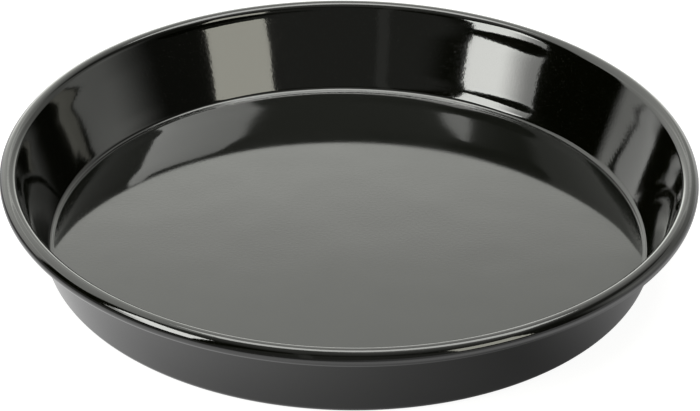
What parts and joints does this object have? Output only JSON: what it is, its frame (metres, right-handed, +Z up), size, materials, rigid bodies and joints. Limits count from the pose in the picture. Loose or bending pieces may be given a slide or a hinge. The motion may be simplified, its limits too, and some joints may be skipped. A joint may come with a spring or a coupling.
{
  "type": "pizza pan",
  "caption": "Round pressed-steel pizza pan in black vitreous enamel: flat floor, tapered wall and a hollow rolled rim, for baking and serving.",
  "frame": {"origin": "centre of the flat underside, on the surface that the pan stands on", "axes": "+Z up along the pan's axis of revolution, out of its open side"},
  "size_m": [0.32, 0.32, 0.044],
  "materials": {
    "black_enamel": "fired glossy black vitreous enamel with a faint orange-peel surface",
    "pressed_steel": "bare low-carbon sheet, seen only at the curl's raw edge"
  },
  "bodies": {
    "root": {"inside_enamel": "black_enamel", "steel_sheet": "pressed_steel", "outside_enamel": "black_enamel"}
  },
  "joints": []
}
